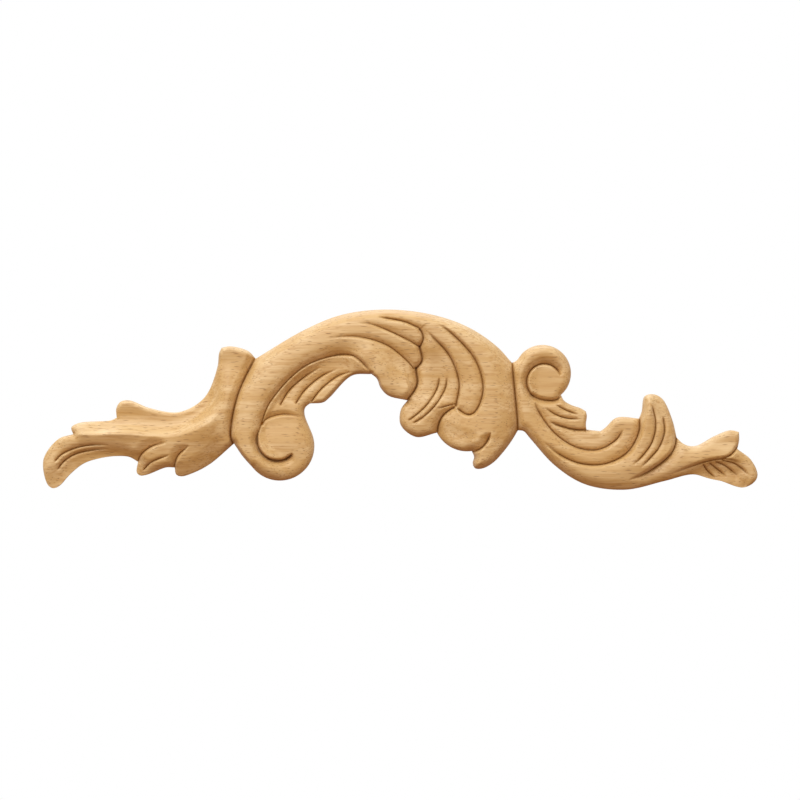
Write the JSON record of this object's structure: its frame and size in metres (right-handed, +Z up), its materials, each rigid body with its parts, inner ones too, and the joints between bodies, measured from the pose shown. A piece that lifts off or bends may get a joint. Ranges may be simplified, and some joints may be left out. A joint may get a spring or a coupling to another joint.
{
  "type": "carved wood applique",
  "caption": "Carved hardwood onlay: an arched acanthus spray between two scrolls, flat at the back, to glue or pin on furniture.",
  "frame": {"origin": "on the flat back, in the middle of the arch's band, where the piece is fixed", "axes": "+X along the length to the right as seen from the front, +Z up, +Y out of the flat back into what it is fixed to, so the carved face looks towards -Y"},
  "size_m": [0.2994, 0.012, 0.0755],
  "materials": {
    "raw_hardwood": "sanded and unvarnished, fine dark pores running along the length"
  },
  "bodies": {
    "root": {"carved_applique": "raw_hardwood"}
  },
  "joints": []
}
